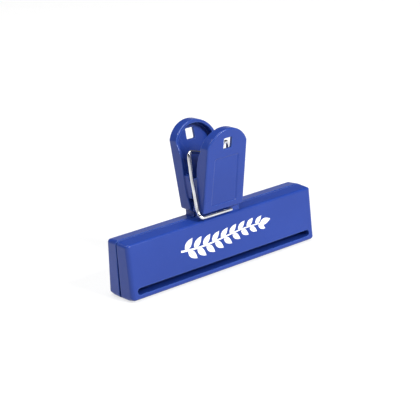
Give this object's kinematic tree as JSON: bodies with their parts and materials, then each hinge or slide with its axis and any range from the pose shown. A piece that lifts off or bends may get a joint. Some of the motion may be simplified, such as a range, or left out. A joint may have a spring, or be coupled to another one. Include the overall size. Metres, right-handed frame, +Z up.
{
  "type": "bag clip",
  "caption": "Sprung bag clip: two moulded halves rock on a nose-and-socket fulcrum, a bent wire holds the long jaw shut, handles have hanging holes.",
  "frame": {"origin": "middle of the jaw's lower edge, in the plane where the two halves meet", "axes": "+X along the jaw, -Y out of the front half's printed face, +Z up from the jaw to the handles"},
  "size_m": [0.1022, 0.0282, 0.0634],
  "materials": {
    "blue_moulding": "satin",
    "spring_steel": "bright drawn"
  },
  "bodies": {
    "front_clip": {"front_half": "blue_moulding", "spring_wire": "spring_steel"},
    "back_clip": {"back_half": "blue_moulding"}
  },
  "joints": [
    {"name": "jaw_pivot", "type": "hinge", "parent": "front_clip", "child": "back_clip", "pos_m": [0, 0, 0.038], "axis": [1, 0, 0], "range_deg": [0, 37], "stiffness_Nm_per_rad": 0.3, "springref_deg": -28.65, "deforming": ["spring_wire"]}
  ]
}
